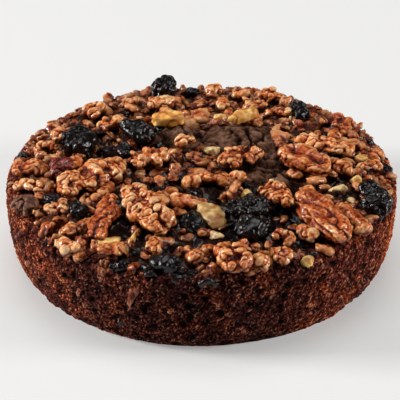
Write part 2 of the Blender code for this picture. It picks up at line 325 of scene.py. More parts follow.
def new_group(name, inputs, outputs):
    """An empty effect group with named number inputs and outputs."""
    tree = bpy.data.node_groups.new(name, "ShaderNodeTree")
    for socket, value in inputs.items():
        tree.interface.new_socket(socket, in_out="INPUT", socket_type="NodeSocketFloat").default_value = value
    for socket, kind in outputs.items():
        tree.interface.new_socket(socket, in_out="OUTPUT", socket_type=kind)
    return tree, tree.nodes.new("NodeGroupInput"), tree.nodes.new("NodeGroupOutput")


def use(tree, group, inputs=None):
    """Places an effect group in a material."""
    made = tree.nodes.new("ShaderNodeGroup")
    made.node_tree = group
    for name, value in (inputs or {}).items():
        if isinstance(value, bpy.types.NodeSocket):
            tree.links.new(value, made.inputs[name])
        else:
            made.inputs[name].default_value = value
    return made


def make_grain_group():
    """Fine baked grain: a height for bumps and a patchy mask, both in real size."""
    tree, given, result = new_group(
        "baked grain",
        {"Grain size": 1.0, "Patch size": 6.0},
        {"Height": "NodeSocketFloat", "Patches": "NodeSocketFloat", "Specks": "NodeSocketFloat"},
    )
    coords = put(tree, "ShaderNodeTexCoord").outputs["Object"]
    fine = put(tree, "ShaderNodeTexNoise", {"Vector": coords, "Detail": 4.0, "Roughness": 0.62})
    patch = put(tree, "ShaderNodeTexNoise", {"Vector": coords, "Detail": 2.0, "Roughness": 0.5})
    speck = put(tree, "ShaderNodeTexNoise", {"Vector": coords, "Detail": 1.0, "Roughness": 0.5})
    tree.links.new(sum_of(tree, "DIVIDE", 1000.0, given.outputs["Grain size"]), fine.inputs["Scale"])
    tree.links.new(sum_of(tree, "DIVIDE", 1000.0, given.outputs["Patch size"]), patch.inputs["Scale"])
    tree.links.new(sum_of(tree, "DIVIDE", 620.0, given.outputs["Grain size"]), speck.inputs["Scale"])
    tree.links.new(fine.outputs["Fac"], result.inputs["Height"])
    tree.links.new(patch.outputs["Fac"], result.inputs["Patches"])
    tree.links.new(speck.outputs["Fac"], result.inputs["Specks"])
    return tree


grain_group = make_grain_group()


def new_material(name):
    made = bpy.data.materials.new(name)
    made.use_nodes = True
    return made, made.node_tree, made.node_tree.nodes["Principled BSDF"]


def roughen(tree, shader, height, strength, depth):
    """A Bump node into the shader's normal."""
    bump = put(tree, "ShaderNodeBump", {"Height": height, "Strength": strength, "Distance": depth})
    tree.links.new(bump.outputs["Normal"], shader.inputs["Normal"])


def spread_of(tree, value, low, high, to_low, to_high):
    """Maps a value from one range to another, clamped."""
    made = put(tree, "ShaderNodeMapRange", {"Value": value, "From Min": low, "From Max": high, "To Min": to_low, "To Max": to_high})
    return made.outputs["Result"]


def make_cake_material():
    made, tree, shader = new_material("dark crumb and browned crust")
    grain = use(tree, grain_group, {"Grain size": 0.9, "Patch size": 7.0})
    openness_and_shade = reading(tree, "openness_and_shade")
    broad = use(tree, grain_group, {"Grain size": 0.6, "Patch size": 16.0})
    fine = spread_of(tree, grain.outputs["Height"], 0.36, 0.64, -0.24, 0.24)
    # The crumb's colour: painted shade down the pores and holes, with lighter and darker crumb between.
    crumb = ramp(tree, sum_of(tree, "ADD", openness_and_shade, fine), [(0.0, (0.003, 0.0002, 0.0001)), (0.35, (0.019, 0.0019, 0.0007)), (0.65, (0.075, 0.0125, 0.006)), (0.85, (0.17, 0.048, 0.028)), (1.0, (0.37, 0.17, 0.115))])
    warm = spread_of(tree, broad.outputs["Patches"], 0.42, 0.62, 0.0, 1.0)
    warm = ramp(tree, warm, [(0.0, (0.62, 0.52, 0.62)), (0.5, (0.95, 0.90, 0.85)), (1.0, (1.4, 1.22, 0.85))])
    crumb = blend(tree, 1.0, crumb, warm, "MULTIPLY")
    # Painted side light: the wall's colour is lifted, up to nearly threefold, at the sides and the back.
    side_light_lift = ramp(tree, reading(tree, "painted_side_light"), [(0.0, (0.85, 0.82, 0.85)), (0.45, (1.15, 1.1, 1.0)), (1.0, (2.9, 2.65, 1.9))])
    crumb = blend(tree, 1.0, crumb, side_light_lift, "MULTIPLY")
    orange = spread_of(tree, grain.outputs["Specks"], 0.66, 0.74, 0.0, 0.4)
    crumb = blend(tree, orange, crumb, (0.33, 0.105, 0.032))
    glint = spread_of(tree, broad.outputs["Specks"], 0.68, 0.74, 0.0, 0.6)
    crumb = blend(tree, glint, crumb, (0.42, 0.24, 0.17))
    # The covered crust is dark: partly sticky batter, partly painted shade in the gaps between the pieces.
    covered = ramp(tree, openness_and_shade, [(0.0, (0.002, 0.0005, 0.0003)), (0.45, (0.024, 0.006, 0.0024)), (0.75, (0.085, 0.022, 0.008)), (1.0, (0.20, 0.058, 0.018))])
    # The bare crust goes dark down its cracks: painted shade.
    bare = ramp(tree, openness_and_shade, [(0.0, (0.002, 0.0008, 0.0006)), (0.35, (0.035, 0.013, 0.0065)), (0.65, (0.15, 0.066, 0.037)), (1.0, (0.27, 0.14, 0.09))])
    crust = blend(tree, spread_of(tree, reading(tree, "bare"), 0.2, 0.6, 0.0, 1.0), covered, bare)
    crusted = spread_of(tree, reading(tree, "crusted"), 0.35, 0.9, 0.0, 1.0)
    colour = blend(tree, crusted, crumb, crust)
    patches = spread_of(tree, grain.outputs["Patches"], 0.3, 0.7, 0.72, 1.25)
    mottle = put(tree, "ShaderNodeCombineColor", {"Red": patches, "Green": patches, "Blue": patches}).outputs["Color"]
    colour = blend(tree, 1.0, colour, mottle, "MULTIPLY")
    tree.links.new(colour, shader.inputs["Base Color"])
    sticky = sum_of(tree, "MULTIPLY", crusted, spread_of(tree, grain.outputs["Patches"], 0.42, 0.58, 0.0, 1.0))
    sticky = sum_of(tree, "MULTIPLY", sticky, spread_of(tree, reading(tree, "bare"), 0.1, 0.4, 1.0, 0.0))
    tree.links.new(sum_of(tree, "MULTIPLY", sticky, 0.6), shader.inputs["Coat Weight"])
    shader.inputs["Coat Roughness"].default_value = 0.15
    shader.inputs["Roughness"].default_value = 0.8
    shader.inputs["Specular IOR Level"].default_value = 0.08
    rougher = spread_of(tree, reading(tree, "bare"), 0.1, 0.5, 1.0, 3.0)
    roughen(tree, shader, sum_of(tree, "MULTIPLY", grain.outputs["Height"], rougher), 0.9, 0.0006)
    return made


cake = build_cake()
cake.data.materials.append(make_cake_material())
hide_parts("cake")
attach(cake, "root")


# ---------------------------------------------------------------------------------------------------------
# The walnuts: halves, quarters and broken pieces of kernel pressed into the batter and baked brown. The
# skin is thin and glazed. Its colour has painted shade down the creases and painted highlights on the backs of the
# folds, in cream patches partly where the skin rubbed off.

NUT_MESH = 0.42
KERNEL_KINDS = ("walnut_half", "walnut_quarter", "walnut_piece", "walnut_inner")


def points_of(mesh):
    co = np.empty(len(mesh.vertices) * 3, np.float32)
    mesh.vertices.foreach_get("co", co)
    return co.reshape(-1, 3).astype(float) / MM


def normals_of(mesh):
    way = np.empty(len(mesh.vertices) * 3, np.float32)
    mesh.vertex_normals.foreach_get("vector", way)
    return way.reshape(-1, 3).astype(float)


def set_points(mesh, co):
    mesh.vertices.foreach_set("co", (co * MM).astype(np.float32).ravel())
    mesh.update()


def own_frame(co):
    """Middle, own axes (long, cross, up) and half sizes of a piece, from its points in millimetres."""
    middle = (co.min(0) + co.max(0)) / 2
    flat = co[:, :2] - co[:, :2].mean(0)
    values, ways = np.linalg.eigh(flat.T @ flat)
    along = np.array([ways[0, 1], ways[1, 1], 0.0])
    axes = np.stack([along, [-along[1], along[0], 0.0], [0.0, 0.0, 1.0]])
    return middle, axes, np.abs((co - middle) @ axes.T).max(0)


def fused(name, parts, size, relax):
    """One closed piece with a fine even mesh, grown together from the closed meshes (points, faces) given."""
    points, faces, start = [], [], 0
    for co, polygons in parts:
        points.append(co)
        faces.extend(tuple(start + corner for corner in polygon) for polygon in polygons)
        start += len(co)
    mesh = bpy.data.meshes.new(name)
    mesh.from_pydata((np.concatenate(points) * MM).tolist(), [], faces)
    piece = bpy.data.objects.new(name, mesh)
    bpy.context.scene.collection.objects.link(piece)
    remesh = piece.modifiers.new("even mesh", "REMESH")
    remesh.mode = "VOXEL"
    remesh.voxel_size = size * MM
    remesh.adaptivity = 0.0
    smooth = piece.modifiers.new("relax", "SMOOTH")
    smooth.factor = 0.5
    smooth.iterations = relax
    fine = bpy.data.meshes.new_from_object(piece.evaluated_get(bpy.context.evaluated_depsgraph_get()))
    piece.modifiers.clear()
    piece.data = fine
    bpy.data.meshes.remove(mesh)
    fine.name = name
    fine.shade_smooth()
    return piece


def solid_of(node):
    """A CAD node's solid as points in millimetres and faces, with its doubled points merged."""
    form = bmesh.new()
    form.from_mesh(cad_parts[node].data)
    bmesh.ops.remove_doubles(form, verts=form.verts, dist=1e-6)
    co = np.array([vert.co for vert in form.verts]) / MM
    form.verts.index_update()
    faces = [tuple(vert.index for vert in face.verts) for face in form.faces]
    form.free()
    return co, faces


def ball(detail):
    """Points and faces of a unit ball."""
    form = bmesh.new()
    bmesh.ops.create_icosphere(form, subdivisions=detail, radius=1.0)
    co = np.array([vert.co for vert in form.verts])
    form.verts.index_update()
    faces = [tuple(vert.index for vert in face.verts) for face in form.faces]
    form.free()
    return co, faces


BALL = ball(2)


def lobe(middle, along, up, radii):
    """One round lobe: an egg with its three radii along, across and up."""
    across = np.cross(up, along)
    turn = np.stack([along, across, up])
    return middle + (BALL[0] * radii) @ turn, BALL[1]


def evened(mesh, co, rounds):
    """The points after that many rounds of averaging with their neighbours."""
    edges = np.empty(len(mesh.edges) * 2, np.int32)
    mesh.edges.foreach_get("vertices", edges)
    first, second = edges.reshape(-1, 2).T
    count = np.bincount(first, minlength=len(co)) + np.bincount(second, minlength=len(co))
    for _ in range(rounds):
        total = np.empty_like(co)
        for axis in range(3):
            total[:, axis] = np.bincount(first, co[second, axis], len(co)) + np.bincount(second, co[first, axis], len(co))
        co = 0.4 * co + 0.6 * total / count[:, None]
    return co


def standing_out(mesh, rounds, depth):
    """How far each point stands out from its surroundings: 0 down a crease, 0.5 level, 1 on a lobe's tip."""
    co = points_of(mesh)
    way = normals_of(mesh)
    near = evened(mesh, co, rounds // 3)
    wide = ((co - evened(mesh, near, rounds)) * way).sum(1)
    return np.clip(0.46 + (0.45 * wide + 0.6 * ((co - near) * way).sum(1)) / depth, 0.0, 1.0)


def spread_points(co, spacing, dice):
    """Points picked from many so that no two are nearer than the spacing."""
    order = list(range(len(co)))
    dice.shuffle(order)
    kept = []
    for index in order:
        if all(((co[index] - co[other]) ** 2).sum() > spacing**2 for other in kept):
            kept.append(index)
    return kept


def wrinkle(mesh, seed, amounts):
    """Pushes points in and out by noise: amounts is a list of (size, push) in millimetres."""
    co = points_of(mesh)
    way = normals_of(mesh)
    push = np.zeros(len(co))
    for turn, (size, amount) in enumerate(amounts):
        shift = Vector((seed * 1.7 + turn * 11.3, seed * 2.3, seed * 0.9))
        push += [amount * noise.noise(Vector(place) / size + shift) for place in co]
    set_points(mesh, co + way * push[:, None])


def fold_height(place, sharpness=0.24):
    """Rounded winding folds with narrow creases between them: 0 down a crease, 1 on a fold's back."""
    share = min(1.0, abs(noise.noise(place)) / sharpness)
    return math.sqrt(share * (2 - share))


def crease(mesh, seed, depth, size, sharpness=0.4, flow=None):
    """Cuts winding creases into a piece: the lower the sharpness, the narrower they are. With a direction
    given as flow, the creases run along it."""
    co = points_of(mesh)
    way = normals_of(mesh)
    shift = Vector((seed * 3.7, seed * 1.9, seed * 5.3))
    push = []
    for place in co:
        place = Vector(place)
        place += 1.1 * noise.noise_vector(place * 0.3 + shift)
        if flow is not None:
            place -= 0.65 * place.dot(flow) * flow
        push.append(depth * (fold_height(place / size + shift, sharpness) - 0.75))
    set_points(mesh, co + way * np.array(push)[:, None])


def clean_and_lit_share(mesh, low, high):
    """How free each point is of dark cake mix and of painted shade: 0 low down and underneath, 1 on top."""
    co, way = points_of(mesh), normals_of(mesh)
    values = []
    for (x, y, z), up in zip(co, way[:, 2]):
        above = z - crust_height(x, y) + 0.8 * noise.noise(Vector((x, y, z)) * 0.5)
        values.append(min(max((above - low) / (high - low), 0.0), 1.0) * min(max((up + 0.45) / 0.8, 0.0), 1.0))
    return values


def winding_lobe(skin, way, nearest, start, heading, small, length, dice, turning=0.5):
    """A row of balls that winds along the skin from a start point, as one long rounded lobe."""
    place, ahead, parts = skin[start], heading, []
    for _ in range(max(2, round(length / (0.7 * small)))):
        at = nearest.find(place)[1]
        place, up = skin[at], way[at]
        if up[2] < -0.6:
            break
        ahead = ahead - up * (ahead @ up)
        ahead /= np.linalg.norm(ahead) + 1e-9
        radius = small * dice.uniform(0.8, 1.15)
        parts.append(lobe(place - up * radius * 1.1, ahead, up, np.array([1.15 * radius, radius, radius])))
        ahead = ahead + np.cross(up, ahead) * dice.uniform(-turning, turning)
        place = place + ahead * 0.7 * small
    return parts


def skin_of(co, faces, size):
    """Points, outward directions, faces and a finder of nearest points of a solid with a fine even mesh."""
    base = fused("kernel_form", [(co, faces)], size, 4)
    form = base.data
    skin, way = points_of(form), normals_of(form)
    polygons = [tuple(face.vertices) for face in form.polygons]
    bpy.data.objects.remove(base)
    bpy.data.meshes.remove(form)
    nearest = kdtree.KDTree(len(skin))
    for index, place in enumerate(skin):
        nearest.insert(place, index)
    nearest.balance()
    return skin, way, polygons, nearest


def break_off(co, middle, reach, way, share):
    """Flattens a piece beyond a plane, as where a kernel snapped, and tells which points lie on the break."""
    way = way / np.linalg.norm(way)
    past = (co - middle) @ way - share * np.abs(way * reach).sum()
    rough = np.array([0.7 * noise.noise(Vector(place) * 0.45) + 0.3 * noise.noise(Vector(place) * 1.1) for place in co])
    return co - way * np.maximum(past + rough, 0.0)[:, None], past > 0.1


# For each kind: gap between lobes, their smallest and largest half width, their length, how far the core is
# drawn in, and the depth of its wide and fine creases.
KERNEL_SHAPES = {
    "walnut_half": (4.0, 1.3, 2.1, 8.0, 2.2, 0.9, 0.20),
    "walnut_quarter": (4.6, 1.7, 2.6, 8.0, 2.2, 0.7, 0.15),
    "walnut_piece": (4.0, 1.3, 2.3, 6.0, 2.2, 0.9, 0.20),
    "walnut_inner": (4.4, 1.4, 2.2, 9.0, 0.7, 0.7, 0.15),
}
# How light each of the larger kernels baked, 0 to 1, and how much of its skin rubbed off.
BAKED = {
    "walnut_half_01": (0.95, 0.30), "walnut_half_02": (0.80, 0.15), "walnut_quarter_01": (0.05, -0.25),
    "walnut_inner_01": (0.40, -0.10), "walnut_inner_02": (0.32, -0.05), "walnut_quarter_08": (0.30, -0.10),
    "walnut_half_03": (0.90, 0.10), "walnut_piece_10": (1.00, 0.35), "walnut_half_07": (0.60, 0.10),
}
RIBBED = {"walnut_half_06": 2.7, "walnut_quarter_03": 2.6, "walnut_half_01": 3.3, "walnut_quarter_06": 2.8}  # rib spacing
HOLLOW = {"walnut_inner_01": 2.6, "walnut_inner_02": 1.0}  # depth of the two hollows in an inner face
BROKEN_SHARE = {"walnut_half": 0.1, "walnut_quarter": 0.3, "walnut_piece": 0.4, "walnut_inner": 0.0}


def build_kernel(node, seed):
    """A kernel: the node's solid drawn in, with winding lobes grown over it, in cross rows on a half kernel."""
    kind = node.rsplit("_", 1)[0]
    spacing, smallest, largest, length, drawn, wide, fine = KERNEL_SHAPES[kind]
    dice = random.Random(seed * 7 + 3)
    co, faces = solid_of(node)
    middle, axes, reach = own_frame(co)
    skin, way, polygons, nearest = skin_of(co, faces, 0.8)
    parts = [(skin - way * drawn, polygons)]
    if node in RIBBED:
        small = 0.56 * RIBBED[node]
        for step in np.arange(-reach[0] + small, reach[0], RIBBED[node]):
            side = math.sqrt(max(0.0, 1 - (step / reach[0]) ** 2)) * reach[1]
            start = middle + axes[0] * (step + dice.uniform(-0.5, 0.5)) - axes[1] * side + axes[2] * 0.4 * reach[2]
            index = nearest.find(start)[1]
            heading = axes[1] + axes[0] * dice.uniform(-0.2, 0.3)
            parts += winding_lobe(skin, way, nearest, index, heading, small * dice.uniform(0.9, 1.2), 2.4 * side, dice, 0.2)
        spacing = 9.0
    for index in spread_points(skin, spacing, dice):
        up = way[index]
        local = axes @ (skin[index] - middle)
        if up[2] < -0.4 or (kind == "walnut_half" and abs(local[1]) < 1.2 and up[2] > 0.3):
            continue
        if kind == "walnut_inner" and up[2] > 0.7 and abs(local[1]) < 0.7 * reach[1]:
            continue
        outward = 1.0 if local[1] > 0 else -1.0
        heading = axes[1] * outward + axes[0] * dice.uniform(-0.8, 0.8)
        if kind in ("walnut_inner", "walnut_quarter"):
            heading = axes[0] + axes[1] * dice.uniform(-0.6, 0.6)
        if kind == "walnut_piece":
            heading = np.array([dice.uniform(-1, 1), dice.uniform(-1, 1), dice.uniform(-0.3, 0.3)])
        small = dice.uniform(smallest, largest)
        parts += winding_lobe(skin, way, nearest, index, heading, small, length * dice.uniform(0.4, 1.0), dice)
    piece = fused(f"baked_{node}", parts, NUT_MESH, 2)
    mesh = piece.data
    wrinkle(mesh, seed, [(7.0, 1.2), (3.2, 0.4)])
    if kind == "walnut_inner":
        flow = Vector(axes[0] * 0.94 + axes[1] * 0.34)
        crease(mesh, seed, 1.5, 5.5, 0.45, flow)
        crease(mesh, seed + 50, 0.3, 2.6, 0.4, flow)
    else:
        crease(mesh, seed, wide, 4.6)
        crease(mesh, seed + 50, fine, 2.3)
    wrinkle(mesh, seed + 9, [(1.2, 0.2), (0.8, 0.12)])
    if node in HOLLOW:
        co = points_of(mesh)
        along, across, up = ((co - middle) @ axes.T / reach).T
        hollow = np.exp(-(((np.abs(along) - 0.42) / 0.3) ** 2) - (across / 0.42) ** 2) * (up > 0)
        set_points(mesh, co - np.outer(HOLLOW[node] * hollow, axes[2]))
    # How far each point stands out: from it the material paints shade down the creases and highlights on the tips.
    fold = standing_out(mesh, 12, 0.5)
    co = points_of(mesh)
    flesh = np.zeros(len(co), bool)
    if dice.random() < BROKEN_SHARE[kind]:
        ends = axes[0] * dice.choice((-1, 1)) + axes[1] * dice.uniform(-0.7, 0.7) + axes[2] * dice.uniform(0.0, 0.7)
        co, flesh = break_off(co, middle, np.abs((co - middle)).max(0), ends, dice.uniform(0.45, 0.6))
        set_points(mesh, co)
    light, rubbed = BAKED.get(node, (dice.random(), dice.uniform(-0.2, 0.15)))
    if middle[0] < -48 or middle[1] > 40:
        light, rubbed = 0.6 + 0.4 * light, rubbed + 0.12
    local = (co - middle) @ axes.T
    set_tone(mesh, "fold", fold)
    set_tone(mesh, "pale", [rubbed + noise.noise(Vector(place) * 0.24 + Vector((seed, 2 * seed, 4.0))) for place in local])
    set_tone(mesh, "tone", np.full(len(co), light))
    set_tone(mesh, "flesh", flesh.astype(float))
    set_tone(mesh, "clean_and_lit", clean_and_lit_share(mesh, -0.8 if middle[0] < -48 or middle[1] > 40 else 0.3, 4.2))
    return piece


def make_walnut_material():
    made, tree, shader = new_material("baked walnut skin")
    grain = use(tree, grain_group, {"Grain size": 0.8, "Patch size": 4.0})
    fold = reading(tree, "fold")
    # Painted shade down the creases and painted highlights on the backs of the folds, in a darker and a lighter baked
    # tone.
    dark = ramp(tree, fold, [(0.0, (0.028, 0.0012, 0.0003)), (0.3, (0.13, 0.010, 0.0010)), (0.5, (0.32, 0.041, 0.004)), (0.8, (0.56, 0.125, 0.020)), (1.0, (0.78, 0.30, 0.092))])
    light = ramp(tree, fold, [(0.0, (0.045, 0.0025, 0.0004)), (0.3, (0.20, 0.019, 0.002)), (0.5, (0.50, 0.098, 0.015)), (0.8, (0.80, 0.28, 0.070)), (1.0, (0.91, 0.54, 0.25))])
    colour = blend(tree, reading(tree, "tone"), dark, light)
    # Cream on the backs of the folds where the pale value is high: partly rubbed-off skin, partly painted highlight.
    pale_and_lit = spread_of(tree, reading(tree, "pale"), 0.12, 0.42, 0.0, 0.55)
    pale_and_lit = sum_of(tree, "MULTIPLY", pale_and_lit, spread_of(tree, fold, 0.55, 0.95, 0.0, 1.0))
    colour = blend(tree, pale_and_lit, colour, (0.90, 0.60, 0.31))
    flesh = ramp(tree, grain.outputs["Patches"], [(0.3, (0.34, 0.10, 0.022)), (0.5, (0.60, 0.27, 0.08)), (0.68, (0.78, 0.52, 0.22))])
    colour = blend(tree, reading(tree, "flesh"), colour, flesh)
    # Darker low down and underneath: partly batter stuck to the kernel, partly painted shade.
    batter_and_shade = blend(tree, 1.0, colour, (0.22, 0.085, 0.045), "MULTIPLY")
    colour = blend(tree, reading(tree, "clean_and_lit"), batter_and_shade, colour)
    patches = spread_of(tree, grain.outputs["Patches"], 0.3, 0.7, 0.7, 1.25)
    mottle = put(tree, "ShaderNodeCombineColor", {"Red": patches, "Green": patches, "Blue": patches}).outputs["Color"]
    colour = blend(tree, 1.0, colour, mottle, "MULTIPLY")
    tree.links.new(colour, shader.inputs["Base Color"])
    tree.links.new(spread_of(tree, grain.outputs["Specks"], 0.35, 0.65, 0.3, 0.5), shader.inputs["Roughness"])
    shader.inputs["Coat Roughness"].default_value = 0.12
    glaze = spread_of(tree, grain.outputs["Patches"], 0.38, 0.54, 0.0, 0.85)
    tree.links.new(sum_of(tree, "MULTIPLY", glaze, spread_of(tree, fold, 0.25, 0.6, 0.0, 1.0)), shader.inputs["Coat Weight"])
    shader.inputs["Specular IOR Level"].default_value = 0.2
    roughen(tree, shader, grain.outputs["Height"], 0.55, 0.0005)
    return made


walnut_skin = make_walnut_material()
kernels = sorted(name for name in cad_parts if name.rsplit("_", 1)[0] in KERNEL_KINDS)
for seed, node in enumerate(kernels):
    kernel = build_kernel(node, seed)
    kernel.data.materials.append(walnut_skin)
    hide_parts(node)
    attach(kernel, "root")


# ---------------------------------------------------------------------------------------------------------
# Chips: cut pieces of pale kernel without skin, toasted golden at their edges.


def build_chip(node, seed):
    piece = fused(f"baked_{node}", [solid_of(node)], 0.4, 3)
    mesh = piece.data
    co = points_of(mesh)
    way = normals_of(mesh)
    middle, axes, reach = own_frame(co)
    local = (co - middle) @ axes.T
    shift = Vector((seed * 3.3, seed * 5.1, 1.0))
    push = np.empty(len(co))
    fold = np.empty(len(co))
    for index, (x, y, z) in enumerate(local):
        place = Vector((x, y, z))
        wide = fold_height(place * 0.12 + shift, 0.3)
        fine = noise.noise(place * 0.45 + shift)
        push[index] = 0.4 * (wide - 0.75) + 0.3 * fine
        fold[index] = wide * (0.7 + 0.5 * fine)
    co += way * push[:, None]
    set_points(mesh, co)
    set_tone(mesh, "fold", fold)
    set_tone(mesh, "tone", np.full(len(co), (0.0, 0.15, 0.85)[seed]))
    return piece


def make_pale_nut_material():
    made, tree, shader = new_material("toasted pale kernel")
    grain = use(tree, grain_group, {"Grain size": 1.1, "Patch size": 3.5})
    fold = reading(tree, "fold")
    # The colour goes darker down the dents that the folds pushed in: painted shade.
    gold = ramp(tree, fold, [(0.0, (0.22, 0.045, 0.006)), (0.4, (0.66, 0.24, 0.028)), (0.7, (0.95, 0.46, 0.085)), (1.0, (1.0, 0.66, 0.22))])
    cream = ramp(tree, fold, [(0.0, (0.12, 0.04, 0.008)), (0.4, (0.21, 0.105, 0.025)), (0.7, (0.37, 0.23, 0.078)), (1.0, (0.72, 0.52, 0.24))])
    colour = blend(tree, reading(tree, "tone"), gold, cream)
    brown = spread_of(tree, grain.outputs["Patches"], 0.48, 0.66, 0.0, 0.7)
    colour = blend(tree, brown, colour, (0.32, 0.10, 0.018))
    tree.links.new(colour, shader.inputs["Base Color"])
    tree.links.new(spread_of(tree, grain.outputs["Specks"], 0.35, 0.65, 0.38, 0.6), shader.inputs["Roughness"])
    roughen(tree, shader, grain.outputs["Height"], 0.4, 0.0004)
    return made


pale_nut = make_pale_nut_material()
for seed, node in enumerate(("nut_chip_01", "nut_chip_02", "nut_chip_03")):
    chip = build_chip(node, seed)
    chip.data.materials.append(pale_nut)
    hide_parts(node)
    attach(chip, "root")


# ---------------------------------------------------------------------------------------------------------
# The dark dried fruit: prunes and flatter raisins, nearly black, folded and sticky.


def build_fruit(node, seed, depth, width):
    """A dried fruit: its solid shrunk in deep rounded folds, with finer wrinkles along them."""
    piece = fused(f"baked_{node}", [solid_of(node)], 0.42, 3)
    mesh = piece.data
    wrinkle(mesh, seed, [(9.0, 2.4), (5.0, 1.2)])
    crease(mesh, seed, depth, width)
    crease(mesh, seed + 30, 0.4 * depth, 0.5 * width)
    wrinkle(mesh, seed + 3, [(1.7, 0.25)])
    set_tone(mesh, "fold", standing_out(mesh, 10, 0.6))
    return piece


def make_fruit_material(name, stops, roughness, coat, bump):
    made, tree, shader = new_material(name)
    grain = use(tree, grain_group, {"Grain size": 1.0, "Patch size": 3.0})
    # The colour follows how far each point stands out: painted shade down the folds, lighter on their backs.
    colour = ramp(tree, reading(tree, "fold"), stops)
    tree.links.new(colour, shader.inputs["Base Color"])
    tree.links.new(spread_of(tree, grain.outputs["Patches"], 0.4, 0.6, roughness[0], roughness[1]), shader.inputs["Roughness"])
    shader.inputs["Coat Weight"].default_value = coat
    shader.inputs["Coat Roughness"].default_value = 0.1
    shader.inputs["Specular IOR Level"].default_value = 0.35
    roughen(tree, shader, grain.outputs["Height"], bump, 0.0005)
    return made


dark_fruit = make_fruit_material("dried dark fruit", [(0.0, (0.0008, 0.0003, 0.0003)), (0.6, (0.003, 0.001, 0.001)), (1.0, (0.012, 0.0035, 0.003))], (0.08, 0.3), 0.0, 0.35)
raisin_skin = make_fruit_material("raisin skin", [(0.0, (0.006, 0.0010, 0.0004)), (0.45, (0.045, 0.012, 0.005)), (0.8, (0.13, 0.042, 0.018)), (1.0, (0.26, 0.10, 0.045))], (0.45, 0.7), 0.0, 0.9)
dark = sorted(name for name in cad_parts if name.rsplit("_", 1)[0] in ("prune", "raisin"))
for seed, node in enumerate(dark):
    fruit = build_fruit(node, seed, *((2.2, 5.0) if node in ("prune_05", "prune_06", "raisin_02") else (1.8, 9.0)))
    fruit.data.materials.append(raisin_skin if node == "raisin_02" else dark_fruit)
    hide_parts(node)
    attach(fruit, "root")


# ---------------------------------------------------------------------------------------------------------
# The cherry: shrunken and wrinkled, dark red, with a sugary shine.

cherry_skin = make_fruit_material("dried cherry skin", [(0.0, (0.005, 0.0004, 0.0004)), (0.45, (0.075, 0.005, 0.0025)), (1.0, (0.32, 0.042, 0.026))], (0.1, 0.3), 0.4, 0.6)
cherry = build_fruit("cherry_01", 40, 1.5, 3.2)
cherry.data.materials.append(cherry_skin)
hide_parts("cherry_01")
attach(cherry, "root")


# ---------------------------------------------------------------------------------------------------------
# The small stuff between the big pieces: broken bits of walnut, pale chips and scraps of dark fruit, each
# smaller than a berry, strewn over the batter before baking and held by the crust.

BITS = [  # kind, middle x and y, heading, length, width and height: the ones that can be told apart
    ("fruit", -61, 0, 0, 4, 5, 5), ("fruit", -74, 14, 20, 5, 5, 4), ("nut", -59, -45, 60, 9, 7, 6),
    ("nut", -57, -52, 0, 9, 8, 6), ("nut", -44, -61, 20, 10, 8, 5), ("nut", -45, -55, 60, 8, 7, 6),
    ("nut", -39, -60, -20, 8, 6, 5), ("gold", -35, -57, 10, 11, 8, 4), ("gold", -26, -56, 70, 9, 3, 5),
    ("nut", -37, -70, -20, 4, 2.5, 4), ("nut", -36, -68, 10, 4, 2.5, 4), ("nut", -34, -66, 40, 4, 2.5, 4),
    ("nut", -32, -65, 65, 4, 2.5, 4), ("nut", -30, -64.5, 85, 4, 2.5, 4), ("nut", -28, -65, 105, 4, 2.5, 4),
    ("nut", -28, -59, 48, 7, 6, 5), ("nut", -25, -50, -80, 8, 5, 5), ("nut", -24, 36, 17, 9, 7, 6),
    ("nut", -6, 44, -37, 11, 6, 5), ("chip", 4, 9, -9, 8, 6, 5), ("nut", -10, 3, 0, 8, 5, 4),
    ("nut", -3, 4, 30, 7, 5, 4), ("nut", 4, 3, -10, 7, 5, 4), ("nut", 10, 5, 0, 6, 5, 4),
    ("nut", 16, 54, 12, 9, 7, 5), ("gold", 8, 40, 0, 6.5, 6, 5), ("chip", 38, 38, 80, 5, 3, 6),
    ("nut", 48, 46, 0, 5.5, 7, 6), ("nut", 48, 27, -23, 8, 6, 6), ("gold", 66, 8, 15, 7, 6, 5),
    ("nut", 68, -9, 0, 6.5, 7, 5), ("gold", 62, -12, 30, 5, 5, 4), ("chip", 54, -19, 9, 9, 6, 5),
    ("chip", 59, -24, -75, 11, 4, 4), ("chip", 6, -55, -41, 7, 5, 4), ("gold", 18, -25, 44, 5, 5, 5),
    ("nut", 21, -59, 0, 6, 6, 5), ("nut", 16, -58, 60, 6, 5, 5), ("gold", 40, -66, 20, 6, 4, 4),
    ("nut", 3, -64, 40, 6, 7, 6), ("nut", 5, -72, -20, 8, 7, 6), ("fruit", -33, -42, 60, 11, 6, 4),
    ("fruit", 38, -42, -50, 12, 6, 4), ("fruit", -5, 64, 10, 9, 5, 5), ("nut", -70, -42, 0, 6, 5, 4),
]
# Pieces baked into the wall: kind, turn round the cake, height, lean, length, width and depth.
WALL_BITS = [
    ("nut", -109, 25, 20, 12, 5, 5), ("nut", -118, 29, 40, 4, 3, 3), ("nut", -126, 19, 10, 4, 3, 3),
    ("nut", -124, 14, 60, 4, 3, 3), ("nut", -98, 20, 30, 3, 3, 3), ("nut", -78, 9, 0, 3, 3, 3),
    ("fruit", -105, 33, 85, 9, 6, 5), ("fruit", -96, 33, 95, 11, 8, 6), ("fruit", -88, 32, 80, 9, 6, 5),
    ("fruit", -113, 10, 20, 5, 4, 3), ("nut", -45, 8, 0, 4, 3, 3), ("nut", -150, 16, 50, 4, 3, 3),
    ("nut", 20, 20, 30, 7, 4, 4), ("fruit", 55, 14, 60, 9, 6, 4), ("nut", 95, 24, 10, 5, 4, 3),
    ("nut", 140, 12, 80, 7, 4, 4),
]
STREWN = 400
SMALLEST, LARGEST = 5.0, 12.0


